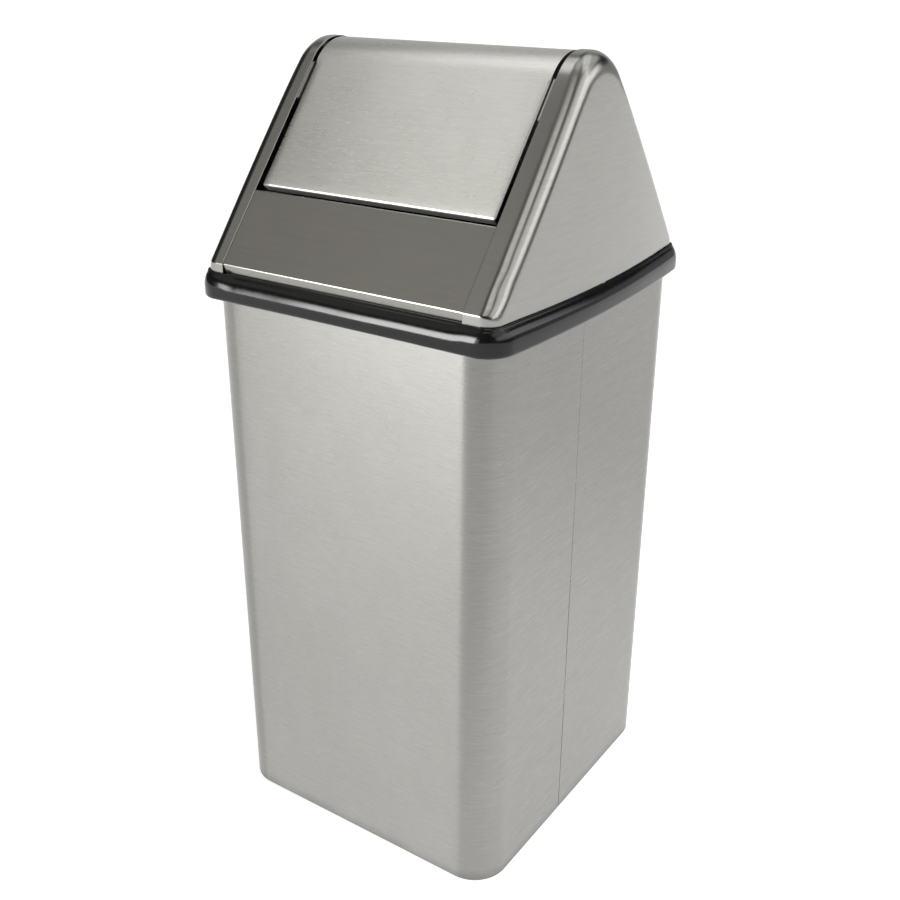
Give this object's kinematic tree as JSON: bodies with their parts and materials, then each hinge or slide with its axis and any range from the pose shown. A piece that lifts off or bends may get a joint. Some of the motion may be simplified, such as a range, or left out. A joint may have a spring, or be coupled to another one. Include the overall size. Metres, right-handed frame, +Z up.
{
  "type": "swing-top waste bin",
  "caption": "Tall square waste bin of wrapped brushed stainless sheet with a lift-off gabled hood, a swinging inverted-V door, a black bumper band and a removable inner pail.",
  "frame": {"origin": "On the floor, under the middle of the bin", "axes": "+Z up, front panel and door face -Y, +X to the right seen from the front; the sheet's seam is on the +X face"},
  "size_m": [0.349, 0.365, 0.7742],
  "materials": {
    "stainless_body": "horizontal brushed stainless sheet",
    "stainless_hood": "brushed stainless, pressed and blended at the rounded edges",
    "stainless_panel": "horizontal brushed stainless sheet",
    "stainless_door": "horizontal brushed stainless sheet",
    "stainless_inner": "mill finish stainless",
    "weld": "ground tack weld",
    "black_band": "glossy black moulded plastic",
    "foot_rubber": "matte black rubber",
    "galvanised": "galvanised sheet with spangle",
    "handle_wire": "galvanised wire",
    "zinc_steel": "zinc plated",
    "nylon": "natural nylon"
  },
  "bodies": {
    "bin": {"body_shell": "stainless_body", "seam_backing_strip": "stainless_inner", "seam_tack_welds": "weld", "bottom_pan": "stainless_inner", "foot_glides": "foot_rubber", "foot_rivets": "zinc_steel", "liner_pail": "galvanised", "liner_bottom": "galvanised", "liner_rim_bead": "galvanised", "handle_ears": "galvanised", "ear_rivets": "zinc_steel"},
    "hood": {"rim_band": "black_band", "left_end_cap": "stainless_hood", "right_end_cap": "stainless_hood", "front_panel": "stainless_panel", "rear_panel": "stainless_panel", "pivot_bracket_left": "stainless_inner", "pivot_bracket_right": "stainless_inner", "pivot_pins": "zinc_steel", "pin_retainers": "zinc_steel", "thrust_washers": "nylon", "stop_bumpers": "foot_rubber", "band_screws": "zinc_steel", "band_nuts": "zinc_steel"},
    "door": {"swing_door": "stainless_door", "door_gusset_left": "stainless_inner", "door_gusset_right": "stainless_inner", "pivot_bushes": "nylon"},
    "handle_left": {"liner_handle_left": "handle_wire"},
    "handle_right": {"liner_handle_right": "handle_wire"}
  },
  "joints": [
    {"name": "hood_lift", "type": "slide", "parent": "bin", "child": "hood", "axis": [0, 0, 1], "range_m": [0, 0.25]},
    {"name": "door_swing", "type": "hinge", "parent": "hood", "child": "door", "pos_m": [0, 0, 0.738], "axis": [1, 0, 0], "range_deg": [-60, 60]},
    {"name": "pail_handle_left", "type": "hinge", "parent": "bin", "child": "handle_left", "pos_m": [-0.131, 0, 0.52], "axis": [0, -1, 0], "range_deg": [0, 180]},
    {"name": "pail_handle_right", "type": "hinge", "parent": "bin", "child": "handle_right", "pos_m": [0.131, 0, 0.52], "axis": [0, 1, 0], "range_deg": [0, 180]}
  ]
}
